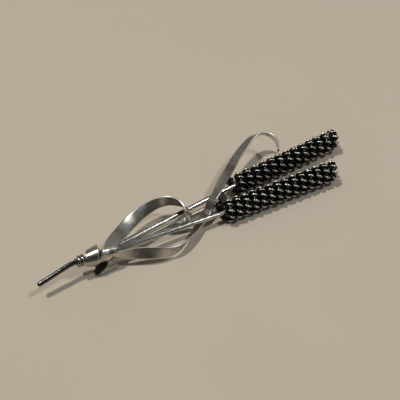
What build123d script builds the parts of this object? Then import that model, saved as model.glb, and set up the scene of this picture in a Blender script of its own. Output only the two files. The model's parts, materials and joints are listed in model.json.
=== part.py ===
from build123d import *
import os
from math import cos, sin, radians

# Silver brooch of two cattails, in millimetres, lying on its back with +Z up.
# +X runs from the stub of the stem to the tips of the cattails.
# Layout positions are measured from a point between the stems; CENTRE moves
# that point so that the part's origin is under the middle of the brooch.
CENTRE = Vector(-1.26, -3.28, 0)

# Wire and strip stock
STEM_D = 1.3
BINDING_D = 0.85
COIL_WIRE_D = 0.6
COIL_MANDREL_D = 1.2
CORE_D = 1.1
STRIP_T = 0.5
PIN_D = 1.0
SHEET_T = 0.4

# Cattail heads: a small spring on a core wire, wound round the stem
COIL_OD = COIL_MANDREL_D + 2 * COIL_WIRE_D
COIL_CLEAR = 0.03
COIL_R = COIL_OD / 2 - COIL_CLEAR / 2
WINDING_R = STEM_D / 2 + COIL_OD / 2 + COIL_CLEAR
HEAD_Z = WINDING_R + COIL_R
SPRING_WALL = 0.19
LOWER_TURNS = 14.0
LOWER_PITCH = 2.45
UPPER_TURNS = 13.0
UPPER_PITCH = 2.65
COIL_START_DEG = 34.0

# The tie, where the stems are bound: its middle, its slopes along X, and the
# winding as (degrees, x, radius of the strip's middle surface, width, how much
# its edge towards the stub leans in)
TIE = (-28.5, 0.55, 4.7)
TIE_SLOPE_Y = -0.09
TIE_SLOPE_Z = -0.05
TIE_STATIONS = [
    (570, -32.2, 2.05, 2.7, 0.20),
    (530, -31.7, 2.0, 3.0, 0.25),
    (485, -31.0, 2.0, 3.2, 0.25),
    (440, -30.4, 2.0, 3.3, 0.25),
    (390, -30.0, 2.05, 3.3, 0.20),
    (340, -29.8, 2.1, 3.2, 0.10),
    (290, -29.6, 2.1, 3.1, 0.0),
    (240, -29.3, 2.1, 3.0, 0.0),
    (205, -28.9, 2.1, 3.0, 0.0),
    (165, -28.0, 2.1, 3.0, 0.0),
    (125, -26.7, 2.1, 3.1, 0.0),
]

# Hinge of the pin
HINGE = (8.0, 2.0, 1.5)
PIN_TIP = (-29.6, 1.5, 2.1)
SWING_LEAN_DEG = 22.0
EYE_R = 0.95
EYE_T = 1.0
RIVET_D = 0.66
RIVET_CLEAR = 0.04
EAR_GAP = 0.08


def at(x, y, z):
    """A layout position in the part's own frame."""
    return Vector(x, y, z) + CENTRE


os.makedirs("parts", exist_ok=True)


def keep(piece, name):
    """Label one finished piece and write its file."""
    piece.label = name
    export_step(piece, f"parts/{name}.step")


# Stems: round wire, bent where the stub leaves the tie and where a head begins
MAIN_TIP = at(-44.9, 0.0, 4.4)
MAIN_BEND = at(-36.2, 0.8, 5.5)
MAIN_HEAD = at(3.9, -2.6, HEAD_Z)
MAIN_END = at(39.9, -5.355, HEAD_Z)
SECOND_START = at(-30.9, 1.46, 4.3)
SECOND_TIE = at(-26.0, 0.97, 4.05)
SECOND_HEAD = at(11.3, 3.8, HEAD_Z)
SECOND_END = at(47.5, 4.34, HEAD_Z)
STEM_BEND_R = 9.0


def along(start, end, distance):
    """The point a distance from start towards end."""
    return start + (end - start).normalized() * distance


with BuildPart() as main_stem:
    with BuildLine():
        main_line = FilletPolyline(
            MAIN_TIP, MAIN_BEND, MAIN_HEAD, MAIN_END, radius=STEM_BEND_R
        )
    with BuildSketch(Plane(origin=main_line @ 0, z_dir=main_line % 0)):
        Circle(STEM_D / 2)
    sweep()
    with Locations(MAIN_TIP):
        Sphere(STEM_D / 2)
keep(main_stem.part, "main_stem")

with BuildPart() as second_stem:
    with BuildLine():
        second_line = FilletPolyline(
            SECOND_START, SECOND_TIE, SECOND_HEAD, SECOND_END, radius=STEM_BEND_R
        )
    with BuildSketch(Plane(origin=second_line @ 0, z_dir=second_line % 0)):
        Circle(STEM_D / 2)
    sweep()
keep(second_stem.part, "second_stem")


# Cattail heads: a close spring on a core wire, wound left-handed round the end of
# each stem. The spring's own turns are left out here: it is a thin-walled tube of
# the spring's outer diameter, whose volume is that of the spring's wire.
def cattail(name, core_name, start, end, pitch, turns):
    axis_dir = (end - start).normalized()
    first = along(start, end, COIL_R)
    winding = Helix(
        pitch=pitch, height=pitch * turns, radius=WINDING_R, center=first, direction=axis_dir, lefthand=True
    )
    begin = winding @ 0 - first
    level = Vector(-axis_dir.Y, axis_dir.X, 0).normalized()
    start_angle = begin.get_signed_angle(level, axis_dir)
    winding = winding.rotate(Axis(first, axis_dir), start_angle + COIL_START_DEG)
    with BuildPart() as head:
        with BuildSketch(Plane(origin=winding @ 0, x_dir=axis_dir, z_dir=winding % 0)):
            Circle(COIL_R)
            Circle(COIL_R - SPRING_WALL, mode=Mode.SUBTRACT)
        sweep(path=winding, is_frenet=True)
    keep(head.part, name)
    with BuildPart() as core:
        with BuildSketch(Plane(origin=winding @ 0, x_dir=axis_dir, z_dir=winding % 0)):
            Circle(CORE_D / 2)
        sweep(path=winding, is_frenet=True)
    keep(core.part, core_name)


cattail("lower_cattail", "lower_core", MAIN_HEAD, MAIN_END, LOWER_PITCH, LOWER_TURNS)
cattail("upper_cattail", "upper_core", SECOND_HEAD, SECOND_END, UPPER_PITCH, UPPER_TURNS)

# Binding wire: two close turns round the stub, next to the tie
BINDING_TURNS = 2
BINDING_PITCH = 0.88
BINDING_FROM_BEND = 1.35
BINDING_START = along(MAIN_BEND, MAIN_HEAD, BINDING_FROM_BEND)
BINDING_CLEAR = 0.02
BINDING_R = STEM_D / 2 + BINDING_D / 2 + BINDING_CLEAR

with BuildPart() as binding_wire:
    binding_line = Helix(
        pitch=BINDING_PITCH,
        height=BINDING_PITCH * BINDING_TURNS,
        radius=BINDING_R,
        center=BINDING_START,
        direction=MAIN_HEAD - MAIN_BEND,
        lefthand=True,
    )
    with BuildSketch(Plane(origin=binding_line @ 0, z_dir=binding_line % 0)):
        Circle(BINDING_D / 2)
    sweep(path=binding_line, is_frenet=True)
keep(binding_wire.part, "binding_wire")


# Strips: flat silver strip bent by hand. A station is a point on the strip's
# middle line with its width and the direction across it.
def tilted(heading, tilt):
    """Across a strip with this heading, its left edge raised by tilt degrees."""
    left = Vector(-heading.Y, heading.X, 0).normalized()
    up = heading.normalized().cross(left)
    return left * cos(radians(tilt)) + up * sin(radians(tilt))


def headings(points):
    """The direction of a smooth line at each of its points."""
    ahead = points[1:] + points[-1:]
    behind = points[:1] + points[:-1]
    return [(a - b).normalized() for a, b in zip(ahead, behind)]


def strip(name, points, widths, crossings):
    """A strip lofted through its stations; crossings are directions or tilts."""
    with BuildPart() as piece:
        for point, heading, width, crossing in zip(points, headings(points), widths, crossings):
            across = crossing if isinstance(crossing, Vector) else tilted(heading, crossing)
            with BuildSketch(Plane(origin=point, x_dir=across, z_dir=heading)):
                Rectangle(width, STRIP_T)
        loft()
    keep(piece.part, name)


# Curled leaf: the strip that ties the stems. It is wound round them, runs out
# as a broad leaf, passes over the second stem and curls back under it.
CURL_STATIONS = [
    (-25.2, 0.7, 6.35, 3.3, 0),
    (-22.2, 2.8, 5.7, 3.4, 16),
    (-18.7, 4.9, 5.2, 3.4, 26),
    (-15.0, 6.5, 5.0, 3.3, 42),
    (-11.3, 7.4, 5.0, 3.2, 58),
    (-8.0, 7.2, 5.3, 3.0, 68),
    (-5.6, 6.0, 5.6, 2.9, 77),
    (-4.1, 3.9, 5.9, 2.8, 98),
    (-3.5, 1.8, 5.9, 2.7, 122),
    (-3.9, 0.0, 5.1, 2.6, 127),
    (-5.2, -0.1, 4.0, 2.8, 124),
    (-7.2, 0.2, 3.2, 2.5, 122),
    (-9.0, 0.6, 2.75, 1.5, 122),
    (-10.2, 1.05, 2.65, 0.6, 120),
]
TIE_ACROSS = Vector(-1, 0.09, 0.05)
FIRST_LEAF_ACROSS = Vector(-0.75, 0.65, 0.1)
curl_points = []
curl_widths = []
curl_crossings = []
for degrees_round, x, radius, width, lean in TIE_STATIONS:
    turn = radians(degrees_round)
    y = TIE[1] + TIE_SLOPE_Y * (x - TIE[0]) + radius * cos(turn)
    z = TIE[2] + TIE_SLOPE_Z * (x - TIE[0]) + radius * sin(turn)
    curl_points.append(at(x, y, z))
    curl_widths.append(width)
    curl_crossings.append(TIE_ACROSS - lean * Vector(0, cos(turn), sin(turn)))
for x, y, z, width, tilt in CURL_STATIONS:
    curl_points.append(at(x, y, z))
    curl_widths.append(width)
    curl_crossings.append(tilt)
curl_crossings[len(TIE_STATIONS)] = FIRST_LEAF_ACROSS
strip("curled_leaf", curl_points, curl_widths, curl_crossings)

# Long leaf: bound in beside the stems, it runs out below them, passes under the
# main stem and over the second one, and arches over to the upper cattail.
LONG_STATIONS = [
    (-30.6, -0.3, 4.4, 1.1, 115),
    (-28.5, -0.57, 4.2, 1.3, 115),
    (-26.4, -0.9, 4.1, 1.7, 100),
    (-23.6, -2.0, 3.85, 2.6, 75),
    (-20.4, -3.3, 3.65, 3.1, 60),
    (-17.2, -4.8, 3.3, 3.2, 58),
    (-14.2, -6.0, 2.95, 3.1, 68),
    (-11.6, -6.5, 2.6, 2.9, 84),
    (-9.0, -6.1, 2.4, 2.7, 100),
    (-6.4, -4.9, 2.15, 2.5, 122),
    (-3.9, -3.5, 1.95, 2.4, 140),
    (-1.2, -1.9, 1.75, 2.3, 150),
    (2.1, 0.0, 2.35, 2.4, 156),
    (3.5, 1.1, 3.7, 2.5, 158),
    (5.3, 1.8, 5.0, 2.5, 156),
    (9.0, 4.4, 5.7, 2.6, 172),
    (13.2, 7.2, 6.0, 2.5, 182),
    (18.4, 10.6, 6.4, 2.4, 176),
    (22.2, 12.6, 6.7, 2.3, 163),
    (25.4, 13.83, 6.9, 2.1, 146),
    (28.6, 13.1, 7.0, 2.0, 116),
    (29.9, 11.0, 7.0, 1.9, 92),
    (29.6, 8.2, 6.9, 1.7, 86),
    (28.4, 5.9, 6.8, 1.2, 86),
]
strip(
    "long_leaf",
    [at(x, y, z) for x, y, z, width, tilt in LONG_STATIONS],
    [width for x, y, z, width, tilt in LONG_STATIONS],
    [tilt for x, y, z, width, tilt in LONG_STATIONS],
)

# Catch: a strip of sheet soldered under the stems and rolled into a wide hook,
# open on the far side. Its end nearest the stub is cut on a slant, and so is the
# far corner of its bottom.
CATCH_X = (-31.4, -25.7)
CATCH_SLANT_X = (-31.4, -27.2)
CATCH_SLANT_Z = (0.3, 3.0)
CATCH_CUT_Z = 6.0
CATCH_CUT_X = -33.0
CATCH_CUT_HALF_Y = 9.0
CATCH_CORNER = [(-33.0, -1.6), (-28.2, 2.2), (-33.0, 2.2)]
CATCH_BEND_R = 0.8
CATCH_FLOOR_Z = SHEET_T / 2
CATCH_PROFILE = [(-1.35, 2.8), (-2.35, 2.1), (-2.35, CATCH_FLOOR_Z), (1.0, CATCH_FLOOR_Z), (1.5, 0.6)]

with BuildPart() as catch_hook:
    with BuildSketch(Plane(origin=at(CATCH_X[0], 0, 0), x_dir=(0, 1, 0), z_dir=(1, 0, 0))):
        with BuildLine():
            FilletPolyline(*CATCH_PROFILE, radius=CATCH_BEND_R)
        trace(line_width=SHEET_T)
    extrude(amount=CATCH_X[1] - CATCH_X[0])
    with BuildSketch(Plane(origin=CENTRE, x_dir=(1, 0, 0), z_dir=(0, -1, 0))):
        with BuildLine():
            Polyline(
                (CATCH_SLANT_X[0], CATCH_SLANT_Z[0]),
                (CATCH_SLANT_X[1], CATCH_SLANT_Z[1]),
                (CATCH_SLANT_X[1], CATCH_CUT_Z),
                (CATCH_CUT_X, CATCH_CUT_Z),
                (CATCH_CUT_X, CATCH_SLANT_Z[0]),
                close=True,
            )
        make_face()
    extrude(amount=CATCH_CUT_HALF_Y, both=True, mode=Mode.SUBTRACT)
    with BuildSketch(Plane(origin=CENTRE)):
        with BuildLine():
            Polyline(*CATCH_CORNER, close=True)
        make_face()
    extrude(amount=CATCH_SLANT_Z[1], mode=Mode.SUBTRACT)
keep(catch_hook.part, "catch_hook")

# Hinge of the pin: a bent bracket soldered to the second stem, a rivet through
# its two ears, and the eye of the pin between them. The rivet leans so that the
# pin swings down and outwards, clear of the hook.
HINGE_POINT = at(*HINGE)
PIN_DIR = (at(*PIN_TIP) - HINGE_POINT).normalized()
LEAN = radians(SWING_LEAN_DEG)
RIVET_DIR = Vector(0, -cos(LEAN), -sin(LEAN))
RIVET_DIR = (RIVET_DIR - PIN_DIR * RIVET_DIR.dot(PIN_DIR)).normalized()
hinge_plane = Plane(origin=HINGE_POINT, x_dir=PIN_DIR, z_dir=RIVET_DIR)
EAR_R = 0.95
EAR_INNER = EYE_T / 2 + EAR_GAP
EAR_OUTER = EAR_INNER + SHEET_T
WEB_H = 1.35
WEB_TAB = 0.5

with BuildPart() as joint_bracket:
    for side in (-1, 1):
        inner = min(side * EAR_INNER, side * EAR_OUTER)
        with BuildSketch(hinge_plane.offset(inner)):
            Circle(EAR_R)
            with Locations((0, -WEB_H / 2)):
                Rectangle(2 * EAR_R, WEB_H)
            Circle(RIVET_D / 2, mode=Mode.SUBTRACT)
        extrude(amount=SHEET_T)
    with BuildSketch(hinge_plane.offset(-EAR_OUTER - WEB_TAB)):
        with Locations((0, -WEB_H)):
            Rectangle(2 * EAR_R, SHEET_T)
    extrude(amount=2 * EAR_OUTER + WEB_TAB)
keep(joint_bracket.part, "joint_bracket")

RIVET_HEAD_R = 0.58
RIVET_HEAD_T = 0.25

with BuildPart() as hinge_rivet:
    with BuildSketch(hinge_plane.offset(-EAR_OUTER)):
        Circle(RIVET_D / 2)
    extrude(amount=2 * EAR_OUTER)
    for base, up in ((EAR_OUTER, RIVET_HEAD_T), (-EAR_OUTER, -RIVET_HEAD_T)):
        with BuildSketch(hinge_plane.offset(base)):
            Circle(RIVET_HEAD_R)
        extrude(amount=up)
keep(hinge_rivet.part, "hinge_rivet")

# Pin: a sprung wire with a flat eye at the hinge and a long fine point
PIN_LENGTH = (at(*PIN_TIP) - HINGE_POINT).length
POINT_LENGTH = 7.0
POINT_D = 0.2

with BuildPart() as pin_stem:
    with BuildSketch(hinge_plane.offset(-EYE_T / 2)):
        Circle(EYE_R)
    extrude(amount=EYE_T)
    with BuildSketch(Plane(origin=HINGE_POINT, z_dir=PIN_DIR)):
        Circle(PIN_D / 2)
    extrude(amount=PIN_LENGTH - POINT_LENGTH)
    point_base = Plane(origin=HINGE_POINT + PIN_DIR * (PIN_LENGTH - POINT_LENGTH), z_dir=PIN_DIR)
    with BuildSketch(point_base):
        Circle(PIN_D / 2)
    with BuildSketch(point_base.offset(POINT_LENGTH)):
        Circle(POINT_D / 2)
    loft()
    with BuildSketch(hinge_plane.offset(-EYE_T)):
        Circle(RIVET_D / 2 + RIVET_CLEAR)
    extrude(amount=2 * EYE_T, mode=Mode.SUBTRACT)
keep(pin_stem.part, "pin_stem")
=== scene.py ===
import bpy
import json
import numpy as np
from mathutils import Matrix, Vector


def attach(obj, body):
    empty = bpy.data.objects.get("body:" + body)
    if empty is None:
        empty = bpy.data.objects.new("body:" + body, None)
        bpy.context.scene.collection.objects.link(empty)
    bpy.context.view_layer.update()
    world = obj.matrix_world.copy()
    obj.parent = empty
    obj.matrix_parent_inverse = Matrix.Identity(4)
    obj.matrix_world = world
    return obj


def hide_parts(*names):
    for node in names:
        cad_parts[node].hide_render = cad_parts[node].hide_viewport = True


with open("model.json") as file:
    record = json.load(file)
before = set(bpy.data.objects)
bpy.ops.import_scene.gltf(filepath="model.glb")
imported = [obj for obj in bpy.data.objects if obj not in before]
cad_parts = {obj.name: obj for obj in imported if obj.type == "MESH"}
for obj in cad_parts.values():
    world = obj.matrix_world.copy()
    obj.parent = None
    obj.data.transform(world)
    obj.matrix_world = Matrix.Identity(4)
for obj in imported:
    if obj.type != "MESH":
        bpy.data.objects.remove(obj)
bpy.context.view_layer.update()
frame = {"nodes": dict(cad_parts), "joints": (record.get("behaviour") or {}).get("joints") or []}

# ---------------------------------------------------------------------------
# Camera: above the brooch's near side, looking down on its front at fifty
# degrees. The layout point lies between the stems; every place on the brooch
# is measured from it in millimetres, and the pin's hinge fixes where it is.
MM = 0.001
hinge = np.array(frame["joints"][0]["pos_m"])
HINGE_IN_LAYOUT = np.array([8.0, 2.0, 1.5])
layout = hinge - HINGE_IN_LAYOUT * MM


def placed(points):
    """Layout points in millimetres as points of the frame in metres."""
    return layout + np.asarray(points, float) * MM


def link_object(name, data):
    """A new object in the scene, at the origin, holding a mesh, a lamp or a camera."""
    made = bpy.data.objects.new(name, data)
    bpy.context.scene.collection.objects.link(made)
    return made


EYE_AT = (-58.80, -99.41, 146.31)
LOOKED_AT = (3.52, 6.37, 0.0)
LENS_LENGTH = 63.0
SENSOR_WIDTH = 36.0
NEAREST_SEEN = 0.01
camera_data = bpy.data.cameras.new("camera")
camera_data.lens = LENS_LENGTH
camera_data.sensor_width = SENSOR_WIDTH
camera_data.clip_start = NEAREST_SEEN
camera = link_object("camera", camera_data)
camera.location = placed(EYE_AT)
camera.rotation_euler = Vector(placed(LOOKED_AT) - placed(EYE_AT)).to_track_quat("-Z", "Y").to_euler()
bpy.context.scene.camera = camera
bpy.context.scene.view_settings.view_transform = "Standard"

# ---------------------------------------------------------------------------
# Floor: a plain sheet of pale cream stock, a little mottled and faintly
# fibrous, that the brooch lies on. It is the stage and no part of the brooch.
FLOOR_SIZE = 1.6
FLOOR_CREAM = (0.60, 0.52, 0.42, 1)
FLOOR_PALE = (0.64, 0.565, 0.465, 1)
FLOOR_ROUGHNESS = 0.75
FLOOR_SHINE = 0.25
MOTTLE = {"Scale": 22.0, "Detail": 3.0, "Roughness": 0.5}
FIBRE = {"Scale": 900.0, "Detail": 4.0, "Roughness": 0.6}


def new_material(name):
    """A node material with its shader, its object coordinates and a maker of nodes."""
    material = bpy.data.materials.new(name)
    material.use_nodes = True
    tree = material.node_tree
    shader = tree.nodes["Principled BSDF"]
    coords = tree.nodes.new("ShaderNodeTexCoord")

    def node(kind, inputs=None, **settings):
        made = tree.nodes.new(kind)
        for key, value in settings.items():
            setattr(made, key, value)
        for key, value in (inputs or {}).items():
            if hasattr(value, "is_output"):
                tree.links.new(value, made.inputs[key])
            else:
                made.inputs[key].default_value = value
        return made

    return material, tree, shader, coords, node


def blended(node, share, first, second):
    """The colour part of the way from the first to the second, by a share from 0 to 1."""
    return node("ShaderNodeMix", {0: share, 6: first, 7: second}, data_type="RGBA").outputs[2]


half = FLOOR_SIZE / 2
floor_corners = [(-half, -half, 0), (half, -half, 0), (half, half, 0), (-half, half, 0)]
floor_mesh = bpy.data.meshes.new("floor")
floor_mesh.from_pydata(floor_corners, [], [(0, 1, 2, 3)])
floor = link_object("floor", floor_mesh)
floor_paper, tree, shader, coords, node = new_material("floor_paper")
mottle = node("ShaderNodeTexNoise", {"Vector": coords.outputs["Object"], **MOTTLE})
cream = blended(node, mottle.outputs["Fac"], FLOOR_CREAM, FLOOR_PALE)
tree.links.new(cream, shader.inputs["Base Color"])
fibre = node("ShaderNodeTexNoise", {"Vector": coords.outputs["Object"], **FIBRE})
relief = node("ShaderNodeBump", {"Height": fibre.outputs["Fac"], "Strength": 0.12, "Distance": 0.0002})
tree.links.new(relief.outputs["Normal"], shader.inputs["Normal"])
shader.inputs["Roughness"].default_value = FLOOR_ROUGHNESS
shader.inputs["Specular IOR Level"].default_value = FLOOR_SHINE
floor_mesh.materials.append(floor_paper)

# ---------------------------------------------------------------------------
# Studio light: two small soft lamps overhead, one to the left and one to the
# right of the camera, a faint cool window low on the right and a faint panel on
# the left, in a room of soft grey light that is darker behind the camera.
CAMERA_TURN = np.radians(30.5018)
CAMERA_RIGHT = np.array([np.cos(CAMERA_TURN), -np.sin(CAMERA_TURN), 0.0])
CAMERA_AWAY = np.array([np.sin(CAMERA_TURN), np.cos(CAMERA_TURN), 0.0])
LAMP_DISTANCE = 1.2
LAMPS = [
    ("key_lamp", -1.6, 0.35, 4.4, 0.11, 6.6, (1.0, 0.96, 0.89)),
    ("second_lamp", 2.6, 0.1, 4.4, 0.17, 3.6, (0.95, 0.97, 1.0)),
    ("window", 1.0, -0.75, 0.75, 0.40, 0.5, (0.80, 0.91, 1.0)),
    ("left_panel", -1.0, 0.25, 0.8, 0.50, 0.45, (0.95, 0.97, 1.0))]
ROOM_TONES = [(0.0, 0.03), (0.25, 0.02), (0.5, 0.06), (0.7, 0.10), (0.85, 0.20), (1.0, 0.25)]
ROOM_TINT = (1.0, 0.95, 0.87)


def lamp(name, right, away, up, size, power, colour):
    """A round soft lamp in a direction given to the camera's right, away and up, facing the brooch."""
    toward = CAMERA_RIGHT * right + CAMERA_AWAY * away + np.array([0, 0, up])
    toward = toward / np.linalg.norm(toward)
    data = bpy.data.lights.new(name, "AREA")
    data.shape = "DISK"
    data.size = size
    data.energy = power
    data.color = colour
    made = link_object(name, data)
    made.location = toward * LAMP_DISTANCE
    made.rotation_euler = Vector(-toward).to_track_quat("-Z", "Y").to_euler()


for each_lamp in LAMPS:
    lamp(*each_lamp)

world = bpy.data.worlds.new("room")
world.use_nodes = True
bpy.context.scene.world = world
sky = world.node_tree
background = sky.nodes["Background"]
way = sky.nodes.new("ShaderNodeTexCoord")
facing = sky.nodes.new("ShaderNodeVectorMath")
facing.operation = "DOT_PRODUCT"
facing.inputs[1].default_value = CAMERA_AWAY
sky.links.new(way.outputs["Generated"], facing.inputs[0])
spread = sky.nodes.new("ShaderNodeMapRange")
spread.inputs[1].default_value = -1.0
sky.links.new(facing.outputs["Value"], spread.inputs[0])
ramp = sky.nodes.new("ShaderNodeValToRGB")
sky.links.new(spread.outputs[0], ramp.inputs[0])
for stop, (place, tone) in enumerate(ROOM_TONES):
    element = ramp.color_ramp.elements[stop] if stop < 2 else ramp.color_ramp.elements.new(place)
    element.position = place
    element.color = (*(tone * tint for tint in ROOM_TINT), 1)
sky.links.new(ramp.outputs[0], background.inputs["Color"])
background.inputs["Strength"].default_value = 1.0

# ---------------------------------------------------------------------------
# Main stem: 1.3 mm round silver wire, drawn, bent by hand where the stub leaves
# the tie, its free end rounded with a file and polished. Out along the stub it is
# dark oxide, and within the tie it is painted dark as the shade inside the tie.
STEM_D = 1.3
STEM_BEND_R = 9.0
ARC_POINTS = 9
DOME_POINTS = 10
HEAD_Z = 3.065
MAIN_CORNERS = [(-44.9, 0.0, 4.4), (-36.2, 0.8, 5.5), (3.9, -2.6, HEAD_Z), (39.9, -5.355, HEAD_Z)]
WIRE_SIDES = 24
STEM_STEP = 0.35


def unit(vectors):
    """Each row divided by its own length."""
    return vectors / np.linalg.norm(vectors, axis=-1, keepdims=True)


def bent_line(corners, radius, step):
    """Straight runs joined by arcs, then cut into even steps.

    Each corner is cut at radius * tan(half the turn) from its point, and an arc joins the cuts."""
    corners = np.asarray(corners, float)
    pieces = [corners[:1]]
    for before, corner, after in zip(corners[:-2], corners[1:-1], corners[2:]):
        back, ahead = unit(before - corner), unit(after - corner)
        half_turn = (np.pi - np.arccos(back @ ahead)) / 2
        centre = corner + unit(back + ahead) * radius / np.cos(half_turn)
        first = corner + back * radius * np.tan(half_turn) - centre
        last = corner + ahead * radius * np.tan(half_turn) - centre
        share = np.linspace(0, 1, ARC_POINTS)[:, None]
        swing = 2 * half_turn
        arc = first * np.sin((1 - share) * swing) + last * np.sin(share * swing)
        pieces.append(centre + arc / np.sin(swing))
    pieces.append(corners[-1:])
    rough = np.concatenate(pieces)
    gone = np.concatenate([[0], np.cumsum(np.linalg.norm(np.diff(rough, axis=0), axis=1))])
    even = np.linspace(0, gone[-1], int(gone[-1] / step) + 1)
    return np.stack([np.interp(even, gone, rough[:, k]) for k in range(3)], axis=1)


def skin(name, grid, along, around, marks=None):
    """A tube from a grid of points (along, around, 3), closed round and capped by a point at each end.

    UV is (along, around), both in millimetres, so that a pattern can follow the piece. Each mark is a
    named value at every point of the grid, such as how worn the metal is there."""
    rows, sides = grid.shape[:2]
    i, j = np.meshgrid(np.arange(rows - 1), np.arange(sides), indexing="ij")
    k = (j + 1) % sides
    quads = np.stack([i * sides + j, i * sides + k, (i + 1) * sides + k, (i + 1) * sides + j], -1)
    around = np.append(around, 2 * around[-1] - around[-2])
    quad_uv = np.stack([
        np.stack([along[i], around[j]], -1), np.stack([along[i], around[j + 1]], -1),
        np.stack([along[i + 1], around[j + 1]], -1), np.stack([along[i + 1], around[j]], -1)], 2)
    s = np.arange(sides)
    low, high = rows * sides, rows * sides + 1
    first_cap = np.stack([np.full(sides, low), (s + 1) % sides, s], -1)
    top = (rows - 1) * sides
    last_cap = np.stack([np.full(sides, high), top + s, top + (s + 1) % sides], -1)
    points = np.concatenate([grid.reshape(-1, 3), grid[0].mean(0)[None], grid[-1].mean(0)[None]])
    cap_around = np.stack([around[s]] * 3, -1)
    cap_uv = np.stack([np.stack([np.full((sides, 3), along[end]), cap_around], -1) for end in (0, -1)])
    faces = quads.reshape(-1, 4).tolist() + first_cap.tolist() + last_cap.tolist()
    mesh = bpy.data.meshes.new(name)
    mesh.from_pydata(placed(points).tolist(), [], faces)
    layer = mesh.uv_layers.new(name="UVMap")
    layer.data.foreach_set("uv", np.concatenate([quad_uv.ravel(), cap_uv.ravel()]).astype(np.float32))
    for mark, values in (marks or {}).items():
        values = np.concatenate([values.ravel(), [values[0].mean(), values[-1].mean()]])
        mesh.attributes.new(mark, "FLOAT", "POINT").data.foreach_set("value", values.astype(np.float32))
    mesh.polygons.foreach_set("use_smooth", np.ones(len(mesh.polygons), bool))
    mesh.update()
    return link_object(name, mesh)


def wire(name, centre, radius, sides, toward=None, marks=None):
    """Round wire: centre(s) + radius(s) (cos t a(s) + sin t b(s)), where a leans as near as it can to toward.

    toward is one direction for each point, and straight up where none is given."""
    tangent = unit(np.gradient(centre, axis=0))
    toward = np.broadcast_to([0.0, 0.0, 1.0], centre.shape) if toward is None else toward
    a = unit(toward - (toward * tangent).sum(1, keepdims=True) * tangent)
    b = np.cross(tangent, a)
    t = np.linspace(0, 2 * np.pi, sides, endpoint=False)
    ring = np.cos(t)[None, :, None] * a[:, None] + np.sin(t)[None, :, None] * b[:, None]
    grid = centre[:, None] + radius[:, None, None] * ring
    gone = np.concatenate([[0], np.cumsum(np.linalg.norm(np.diff(centre, axis=0), axis=1))])
    return skin(name, grid, gone, t * radius.max(), marks)


def rounded_ends(centre, radius):
    """The line with extra points near its ends, and the radius that makes each end a dome.

    At a distance d from an end the radius is sqrt(r**2 - (r - d)**2), up to the full radius r."""
    dome = radius * (1 - np.cos(np.linspace(0.06, np.pi / 2, DOME_POINTS)))
    gone = np.concatenate([[0], np.cumsum(np.linalg.norm(np.diff(centre, axis=0), axis=1))])
    inner = gone[(gone > radius * 1.2) & (gone < gone[-1] - 1.2 * radius)]
    stops = np.unique(np.round(np.concatenate([dome, inner, gone[-1] - dome[::-1]]), 6))
    line = np.stack([np.interp(stops, gone, centre[:, k]) for k in range(3)], axis=1)
    near = np.clip(np.minimum(stops, gone[-1] - stops), 0, radius)
    return line, np.sqrt(np.clip(radius**2 - (radius - near) ** 2, 1e-8, None))


def ranged(node, value, low, high, to_low, to_high):
    """A value carried from low..high onto to_low..to_high and held at both ends."""
    return node("ShaderNodeMapRange", {"Value": value, 1: low, 2: high, 3: to_low, 4: to_high}).outputs[0]


def silver(name, bright, tarnish, polished, rough, spots, scratch, lumpy=0.10, cover=(0.46, 0.74)):
    """Worn silver: two tones by cloudy tarnish, roughness by finer clouds, and lengthwise hairline scratches.

    tone = mix(bright, tarnish, clouds); roughness = polished..rough by finer clouds; bump = scratches and
    hammering. Returns the material, its node tree, its shader, the tone's output and the maker of nodes,
    for pieces that add to the tone."""
    material, tree, shader, coords, node = new_material(name)
    clouds = node("ShaderNodeTexNoise", {"Vector": coords.outputs["Object"], "Scale": spots, "Detail": 6.0,
                                         "Roughness": 0.62, "Distortion": 0.6})
    tone = blended(node, ranged(node, clouds.outputs["Fac"], *cover, 0.0, 1.0), bright, tarnish)
    tree.links.new(tone, shader.inputs["Base Color"])
    fine = node("ShaderNodeTexNoise", {"Vector": coords.outputs["Object"], "Scale": spots * 4, "Detail": 5.0,
                                       "Roughness": 0.6})
    haze = ranged(node, fine.outputs["Fac"], 0.3, 0.75, polished, rough)
    tree.links.new(haze, shader.inputs["Roughness"])
    stretch = node("ShaderNodeMapping", {"Vector": coords.outputs["UV"], "Scale": (0.35, 9.0, 1.0)})
    hair = node("ShaderNodeTexNoise", {"Vector": stretch.outputs[0], "Scale": 2.2, "Detail": 8.0,
                                       "Roughness": 0.7})
    lumps = node("ShaderNodeTexNoise", {"Vector": coords.outputs["Object"], "Scale": 420.0, "Detail": 2.0})
    hair_bump = node("ShaderNodeBump", {"Height": hair.outputs["Fac"], "Strength": scratch,
                                        "Distance": 0.00003})
    lump_bump = node("ShaderNodeBump", {"Height": lumps.outputs["Fac"], "Strength": lumpy, "Distance": 0.0002,
                                        "Normal": hair_bump.outputs["Normal"]})
    tree.links.new(lump_bump.outputs["Normal"], shader.inputs["Normal"])
    shader.inputs["Metallic"].default_value = 1.0
    return material, tree, shader, tone, node


def toned(tree, shader, tone, node, mark, low, high, other):
    """Blend the tone towards another where a piece's mark rises from low to high, and use it."""
    at = node("ShaderNodeAttribute", attribute_name=mark)
    new_tone = blended(node, ranged(node, at.outputs["Fac"], low, high, 0.0, 1.0), tone, other)
    tree.links.new(new_tone, shader.inputs["Base Color"])
    return new_tone


STEM_BRIGHT = (0.56, 0.55, 0.52, 1)
STEM_TARNISH = (0.34, 0.31, 0.27, 1)
# Dark oxide on the stub, and painted shade on the wire within the tie.
STUB_DARK_AND_TIE_SHADE = (0.16, 0.16, 0.16, 1)
STUB_TO = -27.6
STUB_FADE = 1.2


def stub_dark_and_tie_shade(line):
    """How dark the wire is painted: 0 past the tie's mouth, rising to 1 within the tie, as painted shade, and
    out along the stub, as its dark oxide.
    """
    return {"stub": np.clip((STUB_TO - line[:, 0]) / STUB_FADE, 0, 1)[:, None] * np.ones(WIRE_SIDES)}


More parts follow.
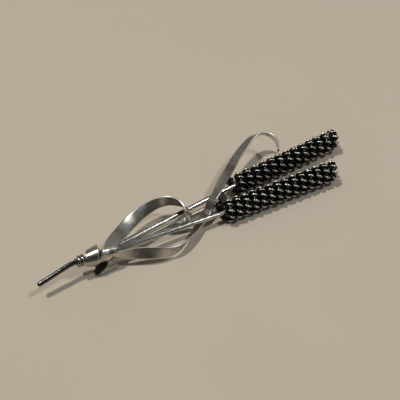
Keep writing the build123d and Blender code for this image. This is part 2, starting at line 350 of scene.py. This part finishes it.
line = bent_line(MAIN_CORNERS, STEM_BEND_R, STEM_STEP)
line[0] -= unit(line[1] - line[0]) * STEM_D / 2
line, radius = rounded_ends(line, STEM_D / 2)
main_stem = wire("main_stem_wire", line, radius, WIRE_SIDES, marks=stub_dark_and_tie_shade(line))
stem_silver, tree, shader, tone, node = silver(
    "stem_silver", STEM_BRIGHT, STEM_TARNISH, 0.13, 0.24, 260.0, 0.3, 0.02)
# The stub mark paints the wire dark: its oxide on the stub and painted shade within the tie.
toned(tree, shader, tone, node, "stub", 0.0, 1.0, STUB_DARK_AND_TIE_SHADE)
main_stem.data.materials.append(stem_silver)
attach(main_stem, "brooch")
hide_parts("main_stem")

# ---------------------------------------------------------------------------
# Second stem: the same wire, drawn and bent the same way. It starts inside the
# tie, which holds it beside the main stem.
SECOND_CORNERS = [(-30.9, 1.46, 4.3), (-26.0, 0.97, 4.05), (11.3, 3.8, HEAD_Z), (47.5, 4.34, HEAD_Z)]
line, radius = rounded_ends(bent_line(SECOND_CORNERS, STEM_BEND_R, STEM_STEP), STEM_D / 2)
# Its length within the tie is painted dark by the same mark, as shade.
second_stem = wire("second_stem_wire", line, radius, WIRE_SIDES, marks=stub_dark_and_tie_shade(line))
second_stem.data.materials.append(stem_silver)
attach(second_stem, "brooch")
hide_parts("second_stem")

# ---------------------------------------------------------------------------
# Binding wire: thinner wire wound twice, left-handed, round the stub close
# beside the tie and left dark.
BINDING_D = 0.85
BINDING_TURNS = 2
BINDING_PITCH = 0.88
BINDING_FROM_BEND = 1.35
BINDING_CLEAR = 0.02
BINDING_R = STEM_D / 2 + BINDING_D / 2 + BINDING_CLEAR
BINDING_SIDES = 18
BINDING_FACETS = 48
BINDING_BRIGHT = (0.36, 0.36, 0.35, 1)
BINDING_DARK = (0.13, 0.12, 0.11, 1)


def winding_frame(start, end):
    """Unit vectors along a wound line, level to its left, and up."""
    ahead = unit(np.subtract(end, start).astype(float))
    level = unit(np.cross([0.0, 0.0, 1.0], ahead))
    return ahead, level, np.cross(ahead, level)


ahead, level, rise = winding_frame(MAIN_CORNERS[1], MAIN_CORNERS[2])
angle = np.linspace(0, 2 * np.pi * BINDING_TURNS, BINDING_FACETS * BINDING_TURNS)[:, None]
start = np.array(MAIN_CORNERS[1]) + ahead * BINDING_FROM_BEND
outward = level * np.cos(-angle) + rise * np.sin(-angle)
line = start + ahead * BINDING_PITCH * angle / (2 * np.pi) + outward * BINDING_R
line, radius = rounded_ends(line, BINDING_D / 2)
binding_wire = wire("binding_wire_turns", line, radius, BINDING_SIDES)
dark_silver = silver("dark_silver", BINDING_BRIGHT, BINDING_DARK, 0.14, 0.30, 500.0, 0.4)[0]
binding_wire.data.materials.append(dark_silver)
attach(binding_wire, "brooch")
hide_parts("binding_wire")

# ---------------------------------------------------------------------------
# Curled leaf: flat silver strip with softened edges. It is wound round the
# stems as the tie, runs out as a broad leaf, passes over the second stem and
# curls back under it to a point.
STRIP_T = 0.5
STRIP_EDGE_R = 0.17
STRIP_LEAST_W = 0.12
STRIP_CORNER_POINTS = 5
STRIP_FLAT_POINTS = 7
RIM_W = 0.34
LEAF_BRIGHT = (0.66, 0.645, 0.61, 1)
LEAF_TARNISH = (0.37, 0.33, 0.27, 1)
# Brown tarnish, and also painted shade on faces turned in or sheltered.
LEAF_STAIN_AND_SHADE = (0.085, 0.07, 0.05, 1)
# Filed rims, painted bright also as a highlight along the edges.
LEAF_RIM_AND_HIGHLIGHT = (0.90, 0.89, 0.86, 1)
# The tie's middle and its slopes along x, then its winding as degrees round the
# stems, x, radius, width and how much the edge towards the stub leans in.
TIE = (-28.5, 0.55, 4.7)
TIE_SLOPE = (-0.09, -0.05)
TIE_STATIONS = [
    (570, -32.2, 2.05, 2.7, 0.20), (530, -31.7, 2.0, 3.0, 0.25), (485, -31.0, 2.0, 3.2, 0.25),
    (440, -30.4, 2.0, 3.3, 0.25), (390, -30.0, 2.05, 3.3, 0.20), (340, -29.8, 2.1, 3.2, 0.10),
    (290, -29.6, 2.1, 3.1, 0.0), (240, -29.3, 2.1, 3.0, 0.0), (205, -28.9, 2.1, 3.0, 0.0),
    (165, -28.0, 2.1, 3.0, 0.0), (125, -26.7, 2.1, 3.1, 0.0)]
TIE_ACROSS = (-1, 0.09, 0.05)
FIRST_LEAF_ACROSS = (-0.75, 0.65, 0.1)
# The leaf's stations: x, y, z, width and how many degrees its left edge is raised.
CURL_STEPS = 10
CURL_STATIONS = [
    (-25.2, 0.7, 6.35, 3.3, 0), (-22.2, 2.8, 5.7, 3.4, 16), (-18.7, 4.9, 5.2, 3.4, 26),
    (-15.0, 6.5, 5.0, 3.3, 42), (-11.3, 7.4, 5.0, 3.2, 58), (-8.0, 7.2, 5.3, 3.0, 68),
    (-5.6, 6.0, 5.6, 2.9, 77), (-4.1, 3.9, 5.9, 2.8, 98), (-3.5, 1.8, 5.9, 2.7, 122),
    (-3.9, 0.0, 5.1, 2.6, 127), (-5.2, -0.1, 4.0, 2.8, 124), (-7.2, 0.2, 3.2, 2.5, 122),
    (-9.0, 0.6, 2.75, 1.5, 122), (-10.2, 1.05, 2.65, 0.6, 120)]
# How brown the front and the back are, in the tie and at each station: brown tarnish,
# and painted shade where a face is turned in or sheltered.
TIE_STAIN_AND_SHADE = (0.05, 1)
CURL_STAINS_AND_SHADE = [
    (0.1, 1), (0.25, 0.6), (0.25, 0.4), (0.1, 0.3), (0.35, 0.3), (0.45, 0.3), (0.7, 0.35),
    (0.95, 0.45), (1, 0.45), (0.9, 0.3), (0.7, 0.05), (0.4, 0), (0.3, 0), (0.3, 0)]


def across_strip(points, tilts):
    """The direction across a strip at each station: its left edge raised by tilt degrees."""
    ahead = np.concatenate([points[1:], points[-1:]])
    behind = np.concatenate([points[:1], points[:-1]])
    heading = unit(ahead - behind)
    left = unit(np.cross([0.0, 0.0, 1.0], heading))
    up = np.cross(heading, left)
    turn = np.radians(tilts)[:, None]
    return left * np.cos(turn) + up * np.sin(turn)


def smooth(rows, each):
    """A natural cubic spline through the rows, each span cut into so many steps.

    The rows' second differences solve the usual three-term equations at chord-length knots."""
    rows = np.asarray(rows, float)
    knots = np.concatenate([[0], np.cumsum(np.sqrt(np.linalg.norm(np.diff(rows[:, :3], axis=0), axis=1)))])
    gap = np.diff(knots)
    count = len(rows)
    system = np.eye(count)
    right = np.zeros_like(rows)
    inside = np.arange(1, count - 1)
    system[inside, inside - 1] = gap[:-1]
    system[inside, inside] = 2 * (gap[:-1] + gap[1:])
    system[inside, inside + 1] = gap[1:]
    slopes = np.diff(rows, axis=0) / gap[:, None]
    right[1:-1] = 6 * np.diff(slopes, axis=0)
    bend = np.linalg.solve(system, right)
    span = np.repeat(np.arange(count - 1), each)
    part = np.tile(np.arange(each) / each, count - 1)
    span, part = np.append(span, count - 2), np.append(part, 1.0)
    h = gap[span][:, None]
    a, b = (1 - part)[:, None], part[:, None]
    return (a * rows[span] + b * rows[span + 1]
            + ((a**3 - a) * bend[span] + (b**3 - b) * bend[span + 1]) * h**2 / 6)


def strip(name, points, widths, crossings, stains_and_shade, each):
    """Flat strip: a rounded oblong carried along a spline through its stations.

    point = middle(s) + x(t) across(s) + y(t) face(s), where (x, y) runs round an oblong of the strip's width
    and thickness with arcs for corners. The marks are the rim, 1 at the two edges, where they are painted
    bright as polish and as a painted highlight, and the stain, how brown and dark it is, as tarnish and
    painted shade."""
    track = smooth(np.column_stack([points, widths, crossings, stains_and_shade]), each)
    middle, width = track[:, :3], np.clip(track[:, 3], STRIP_LEAST_W, None)
    heading = unit(np.gradient(middle, axis=0))
    across = track[:, 4:7]
    across = unit(across - (across * heading).sum(1, keepdims=True) * heading)
    face = np.cross(heading, across)
    arc = STRIP_CORNER_POINTS
    corner = np.radians(np.linspace(0, 90, arc))
    quarter = np.concatenate([corner + k * np.pi / 2 for k in range(4)])
    reach = np.array([(1, 1), (-1, 1), (-1, -1), (1, -1)]).repeat(arc, axis=0)
    flat = np.linspace(-1, 1, STRIP_FLAT_POINTS + 2)[1:-1]
    half_w, half_t = width[:, None] / 2, STRIP_T / 2
    round_r = np.minimum(STRIP_EDGE_R, half_w * 0.8)
    x = reach[:, 0] * (half_w - round_r) + round_r * np.cos(quarter)
    y = reach[:, 1] * (half_t - STRIP_EDGE_R) + STRIP_EDGE_R * np.sin(quarter)
    y = np.broadcast_to(y, x.shape)
    top_x = -flat * (half_w - round_r)
    top_y = np.full_like(top_x, half_t)
    x = np.concatenate([x[:, :arc], top_x, x[:, arc:3 * arc], -top_x, x[:, 3 * arc:]], 1)
    y = np.concatenate([y[:, :arc], top_y, y[:, arc:3 * arc], -top_y, y[:, 3 * arc:]], 1)
    grid = middle[:, None] + x[..., None] * across[:, None] + y[..., None] * face[:, None]
    gone = np.concatenate([[0], np.cumsum(np.linalg.norm(np.diff(middle, axis=0), axis=1))])
    girth = np.linspace(0, 2 * (width.max() + STRIP_T), x.shape[1], endpoint=False)
    rim_and_highlight = np.clip((np.abs(x) - half_w + RIM_W) / RIM_W, 0, 1)
    back = np.clip(0.5 - y / STRIP_T, 0, 1)
    stain_and_shade = np.clip(track[:, 7:8] * (1 - back) + track[:, 8:9] * back, 0, 1)
    return skin(name, grid, gone, girth, {"rim_and_highlight": rim_and_highlight, "stain_and_shade": stain_and_shade})


tie_turn, tie_x, tie_r, tie_w, tie_lean = np.array(TIE_STATIONS, float).T
radial = np.stack([0 * tie_turn, np.cos(np.radians(tie_turn)), np.sin(np.radians(tie_turn))], 1)
tie_y = TIE[1] + TIE_SLOPE[0] * (tie_x - TIE[0]) + tie_r * radial[:, 1]
tie_z = TIE[2] + TIE_SLOPE[1] * (tie_x - TIE[0]) + tie_r * radial[:, 2]
stations = np.array(CURL_STATIONS, float)
tied = len(TIE_STATIONS)
points = np.concatenate([np.stack([tie_x, tie_y, tie_z], 1), stations[:, :3]])
crossings = across_strip(points, np.concatenate([np.zeros(tied), stations[:, 4]]))
crossings[:tied] = TIE_ACROSS - tie_lean[:, None] * radial
crossings[tied] = FIRST_LEAF_ACROSS
widths = np.concatenate([tie_w, stations[:, 3]])
stains_and_shade = np.array([TIE_STAIN_AND_SHADE] * tied + CURL_STAINS_AND_SHADE, float)
curled_leaf = strip("curled_leaf_strip", points, widths, unit(crossings), stains_and_shade, CURL_STEPS)


# Strip silver: smudged brown tarnish, darker where it is stained or shade is painted, and bright filed rims
# that carry a painted highlight.
leaf_silver, tree, shader, tone, node = silver(
    "leaf_silver", LEAF_BRIGHT, LEAF_TARNISH, 0.25, 0.38, 150.0, 0.35, 0.06, (0.42, 0.66))
# Brown tarnish and painted shade by the stain mark.
tone = toned(tree, shader, tone, node, "stain_and_shade", 0.0, 1.0, LEAF_STAIN_AND_SHADE)
# Polished rims and a painted highlight by the rim mark.
toned(tree, shader, tone, node, "rim_and_highlight", 0.55, 0.95, LEAF_RIM_AND_HIGHLIGHT)
curled_leaf.data.materials.append(leaf_silver)
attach(curled_leaf, "brooch")
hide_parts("curled_leaf")

# ---------------------------------------------------------------------------
# Long leaf: the same strip, a little narrower. It runs out below the stems,
# turns on edge under the main stem, crosses over the second one and arches
# to the upper cattail.
LONG_STEPS = 12
LONG_STATIONS = [
    (-30.6, -0.3, 4.4, 1.1, 115), (-28.5, -0.57, 4.2, 1.3, 115), (-26.4, -0.9, 4.1, 1.7, 100),
    (-23.6, -2.0, 3.85, 2.6, 75), (-20.4, -3.3, 3.65, 3.1, 60), (-17.2, -4.8, 3.3, 3.2, 58),
    (-14.2, -6.0, 2.95, 3.1, 68), (-11.6, -6.5, 2.6, 2.9, 84), (-9.0, -6.1, 2.4, 2.7, 100),
    (-6.4, -4.9, 2.15, 2.5, 122), (-3.9, -3.5, 1.95, 2.4, 140), (-1.2, -1.9, 1.75, 2.3, 150),
    (2.1, 0.0, 2.35, 2.4, 156), (3.5, 1.1, 3.7, 2.5, 158), (5.3, 1.8, 5.0, 2.5, 156),
    (9.0, 4.4, 5.7, 2.6, 172), (13.2, 7.2, 6.0, 2.5, 182), (18.4, 10.6, 6.4, 2.4, 176),
    (22.2, 12.6, 6.7, 2.3, 163), (25.4, 13.83, 6.9, 2.1, 146), (28.6, 13.1, 7.0, 2.0, 116),
    (29.9, 11.0, 7.0, 1.9, 92), (29.6, 8.2, 6.9, 1.7, 86), (28.4, 5.9, 6.8, 1.2, 86)]
# How brown the long leaf's front and back are: tarnish, and painted shade where it starts within the tie and
# on its inward face.
LONG_STAINS_AND_SHADE = [
    (1, 1), (1, 1), (0.2, 0.2), (0.05, 0.3), (0.1, 0.4), (0.25, 0.5), (0.1, 0.7), (0.15, 0.9),
    (0.1, 0.9), (0.1, 0.9), (0.1, 0.9), (0.2, 0.8), (0.35, 0.5), (0.4, 0.4), (0.4, 0.4), (0.35, 0.35),
    (0.3, 0.3), (0.2, 0.3), (0.15, 0.3), (0.1, 0.3), (0.1, 0.5), (0.1, 0.6), (0.1, 0.6), (0.1, 0.6)]
stations = np.array(LONG_STATIONS, float)
crossings = across_strip(stations[:, :3], stations[:, 4])
long_leaf = strip("long_leaf_strip", stations[:, :3], stations[:, 3], crossings, LONG_STAINS_AND_SHADE, LONG_STEPS)
long_leaf.data.materials.append(leaf_silver)
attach(long_leaf, "brooch")
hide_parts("long_leaf")

# ---------------------------------------------------------------------------
# Catch: silver sheet soldered under the tie and folded into a wide hook for
# the pin's point. Its end nearest the stub is cut on a slant.
SHEET_T = 0.4
CATCH_X = (-31.4, -25.7)
CATCH_SLANT_X = (-31.4, -27.2)
CATCH_SLANT_Z = (0.3, 3.0)
CATCH_CORNER_Y = (-0.33, 2.2)
CATCH_CORNER_X = (-31.4, -28.2)
CATCH_PROFILE = [(0, -1.35, 2.8), (0, -2.35, 2.1), (0, -2.35, 0.2), (0, 1.0, 0.2), (0, 1.5, 0.6)]
CATCH_BEND_R = 0.6
CATCH_STEP = 0.08
CATCH_ROWS = 40
CATCH_SOFTENED = 0.09
# The hook's inner side is painted near black, as the shade in its hollow.
INSIDE_SHADE = (0.07, 0.06, 0.05, 1)
INSIDE_DEEP_SHADE = (0.03, 0.026, 0.02, 1)
# Its cut edges, painted bright as polish and as a highlight.
CATCH_RIM_HIGHLIGHT = (0.88, 0.87, 0.84, 1)
CATCH_RIM_HIGHLIGHT_TARNISHED = (0.70, 0.67, 0.62, 1)

# Its points run from the slanted end to the square end in x, and along the
# profile in y and z.
profile = bent_line(CATCH_PROFILE, CATCH_BEND_R, CATCH_STEP)
slanted = np.interp(profile[:, 2], CATCH_SLANT_Z, CATCH_SLANT_X)
slanted = np.maximum(slanted, np.interp(profile[:, 1], CATCH_CORNER_Y, CATCH_CORNER_X))
share = np.linspace(0, 1, CATCH_ROWS)[:, None]
over, height = (np.tile(profile[:, k], (CATCH_ROWS, 1)) for k in (1, 2))
grid = np.stack([slanted * (1 - share) + CATCH_X[1] * share, over, height], -1)
rows, columns = grid.shape[:2]
i, j = np.meshgrid(np.arange(rows - 1), np.arange(columns - 1), indexing="ij")
corner = i * columns + j
quads = np.stack([corner, corner + 1, corner + columns + 1, corner + columns], -1)
catch_mesh = bpy.data.meshes.new("catch_sheet")
catch_mesh.from_pydata(placed(grid.reshape(-1, 3)).tolist(), [], quads.reshape(-1, 4).tolist())
layer = catch_mesh.uv_layers.new(name="UVMap")
corner_of = np.zeros(len(catch_mesh.loops), np.int32)
catch_mesh.loops.foreach_get("vertex_index", corner_of)
flat = grid.reshape(-1, 3)[corner_of]
layer.data.foreach_set("uv", np.stack([flat[:, 0], flat[:, 1] + flat[:, 2]], -1).astype(np.float32).ravel())
catch_mesh.polygons.foreach_set("use_smooth", np.ones(len(catch_mesh.polygons), bool))
catch = link_object("catch_sheet", catch_mesh)
thick = catch.modifiers.new("thickness", "SOLIDIFY")
thick.thickness = SHEET_T * MM
thick.offset = 0.0
thick.material_offset = 1
thick.material_offset_rim = 2
soft = catch.modifiers.new("softened", "BEVEL")
soft.width = CATCH_SOFTENED * MM
soft.segments = 2
# Painted shade for the hook's inner shell, and a painted highlight on its cut edges.
catch_inside_shade = silver("catch_inside_shade", INSIDE_SHADE, INSIDE_DEEP_SHADE, 0.35, 0.5, 300.0, 0.3)[0]
catch_rim_highlight = silver("catch_rim_highlight", CATCH_RIM_HIGHLIGHT, CATCH_RIM_HIGHLIGHT_TARNISHED, 0.20, 0.34, 300.0, 0.3)[0]
for metal in (leaf_silver, catch_inside_shade, catch_rim_highlight):
    catch_mesh.materials.append(metal)
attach(catch, "brooch")
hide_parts("catch_hook")

# ---------------------------------------------------------------------------
# Pin back: the pin in dull satin silver, and its folded bracket and rivet, painted
# near black as shade under the stems. Their shapes come from the frame and get the finish here.
PIN_SATIN = (0.50, 0.47, 0.42, 1)
PIN_TARNISH = (0.30, 0.27, 0.22, 1)
HINGE_SHADE = (0.035, 0.032, 0.03, 1)
HINGE_DEEP_SHADE = (0.02, 0.018, 0.016, 1)
pin_silver = silver("pin_silver", PIN_SATIN, PIN_TARNISH, 0.30, 0.46, 300.0, 0.3)[0]
# Bracket and rivet: painted shade, near black.
hinge_shade = silver("hinge_shade", HINGE_SHADE, HINGE_DEEP_SHADE, 0.42, 0.6, 400.0, 0.2)[0]
FINISHES = [("joint_bracket", hinge_shade), ("hinge_rivet", hinge_shade), ("pin_stem", pin_silver)]
for name, finish in FINISHES:
    piece = frame["nodes"][name]
    piece.data.materials.clear()
    piece.data.materials.append(finish)

# ---------------------------------------------------------------------------
# Cattail heads: 0.6 mm wire coiled on a core wire, both then wound left-handed
# round the stem, and the whole oxidised black and rubbed with a cloth, so that
# the crests of the small turns are bright again.
COIL_OUTER_R = 1.185
COIL_WIRE_R = 0.29
COIL_MIDDLE_R = COIL_OUTER_R - COIL_WIRE_R
WINDING_R = 1.88
TURNS_PER_WRAP = 9.63
COIL_START = np.radians(34.0)
COIL_FACETS = 20
COIL_SIDES = 8
CORE_R = 0.55
CORE_SIDES = 12
CORE_SKIP = 6
FLARE = 0.35
FLARE_TURNS = 0.10
OXIDE = (0.030, 0.030, 0.031, 1)
OXIDE_BLACK = (0.012, 0.012, 0.012, 1)
WORN_CREST = (0.66, 0.65, 0.62, 1)
CORE_DARK = (0.05, 0.048, 0.045, 1)
CORE_BLACK = (0.02, 0.019, 0.018, 1)
# Each head: the stem's corners, how many wraps it has and how far apart they are.
HEADS = [("lower", MAIN_CORNERS, 14.0, 2.45), ("upper", SECOND_CORNERS, 13.0, 2.65)]


def cattail(name, first, last, wraps, pitch):
    """Coiled coil: the wound line is axis + R (cos w level + sin w rise), and the wire circles that line.

    R is the winding's radius plus a flare that dies away early in the first turn; w runs backwards, so that
    it is left-handed. The mark worn is highest on the outside of each small turn, where a cloth reaches."""
    ahead, level, rise = winding_frame(first, last)
    start = np.array(first) + ahead * COIL_OUTER_R
    total = int(wraps * TURNS_PER_WRAP * COIL_FACETS)
    wrap = np.linspace(0, wraps, total)[:, None]
    w = COIL_START - 2 * np.pi * wrap
    reach = WINDING_R + FLARE * np.exp(-(wrap / FLARE_TURNS) ** 2)
    out = level * np.cos(w) + rise * np.sin(w)
    wound = start + ahead * pitch * wrap + out * reach
    tangent = unit(np.gradient(wound, axis=0))
    normal = unit(out - (out * tangent).sum(1, keepdims=True) * tangent)
    binormal = np.cross(tangent, normal)
    small = -2 * np.pi * wrap * TURNS_PER_WRAP
    toward = normal * np.cos(small) + binormal * np.sin(small)
    centre = wound + toward * COIL_MIDDLE_R
    radius = np.full(total, COIL_WIRE_R)
    t = np.linspace(0, 2 * np.pi, COIL_SIDES, endpoint=False)
    worn = np.cos(small) * (0.65 + 0.35 * np.cos(t))
    coil = wire(name + "_coil", centre, radius, COIL_SIDES, toward, {"worn": worn})
    middle = wound[::CORE_SKIP]
    core = wire(name + "_core_wire", middle, np.full(len(middle), CORE_R), CORE_SIDES)
    return coil, core


oxidised, tree, shader, tone, node = silver("oxidised_silver", OXIDE, OXIDE_BLACK, 0.22, 0.34, 700.0, 0.1)
toned(tree, shader, tone, node, "worn", 0.50, 0.95, WORN_CREST)
core_silver = silver("core_silver", CORE_DARK, CORE_BLACK, 0.3, 0.5, 600.0, 0.2)[0]
for name, corners, wraps, pitch in HEADS:
    coil, core = cattail(name + "_cattail", corners[2], corners[3], wraps, pitch)
    coil.data.materials.append(oxidised)
    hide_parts(name + "_cattail")
    core.data.materials.append(core_silver)
    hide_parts(name + "_core")
    for piece in (coil, core):
        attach(piece, "brooch")
